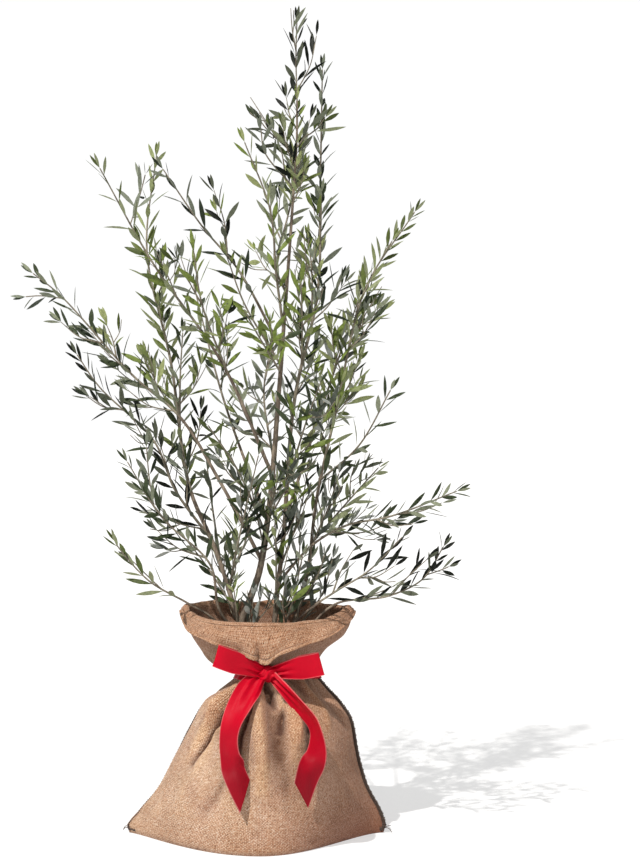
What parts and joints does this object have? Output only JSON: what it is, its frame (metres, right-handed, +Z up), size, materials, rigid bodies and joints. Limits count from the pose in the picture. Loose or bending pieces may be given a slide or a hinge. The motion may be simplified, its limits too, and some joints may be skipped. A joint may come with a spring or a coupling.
{
  "type": "potted olive tree",
  "caption": "Young olive tree with slender stems and narrow leaves, in a nursery pot dressed in a burlap sack with a folded collar and a red ribbon bow.",
  "frame": {"origin": "on the ground, in the middle of the sack's flat underside", "axes": "+Z up the tree, -Y to the front, where the bow is, +X to the right as seen from the front"},
  "size_m": [0.685, 0.46, 1.226],
  "materials": {
    "foliage": "narrow grey-green leaves, satin above and dull below",
    "bark": "thin grey-brown bark, matt",
    "burlap": "plain-woven jute, coarse and matt",
    "ribbon": "red satin",
    "pot": "black nursery plastic",
    "mix": "dark crumbly potting mix"
  },
  "bodies": {
    "root": {"bough_back_left": "bark", "bough_back_right": "bark", "bough_far_right_stem": "bark", "bough_left_arm": "bark", "bough_left_inner": "bark", "bough_left_long": "bark", "bough_left_low": "bark", "bough_left_mid": "bark", "bough_left_stem": "bark", "bough_right_arm": "bark", "bough_right_front": "bark", "bough_right_low": "bark", "bough_right_stem": "bark", "foliage_back_left": "foliage", "foliage_back_low": "foliage", "foliage_back_mid": "foliage", "foliage_back_right": "foliage", "foliage_crown_back": "foliage", "foliage_crown_front": "foliage", "foliage_crown_left": "foliage", "foliage_crown_tip": "foliage", "foliage_far_right_stem": "foliage", "foliage_front_left": "foliage", "foliage_front_right": "foliage", "foliage_inner_high": "foliage", "foliage_inner_left": "foliage", "foliage_left_arm": "foliage", "foliage_left_fan": "foliage", "foliage_left_inner": "foliage", "foliage_left_long": "foliage", "foliage_left_low": "foliage", "foliage_left_mid": "foliage", "foliage_left_skirt": "foliage", "foliage_left_spray": "foliage", "foliage_left_stem": "foliage", "foliage_right_arm": "foliage", "foliage_right_back": "foliage", "foliage_right_front": "foliage", "foliage_right_low": "foliage", "foliage_right_skirt": "foliage", "foliage_right_spray": "foliage", "foliage_right_stem": "foliage", "nursery_pot": "pot", "potting_mix": "mix", "ribbon_band": "ribbon", "ribbon_bow": "ribbon", "ribbon_tail_left": "ribbon", "ribbon_tail_right": "ribbon", "sack": "burlap", "trunk": "bark"}
  },
  "joints": []
}
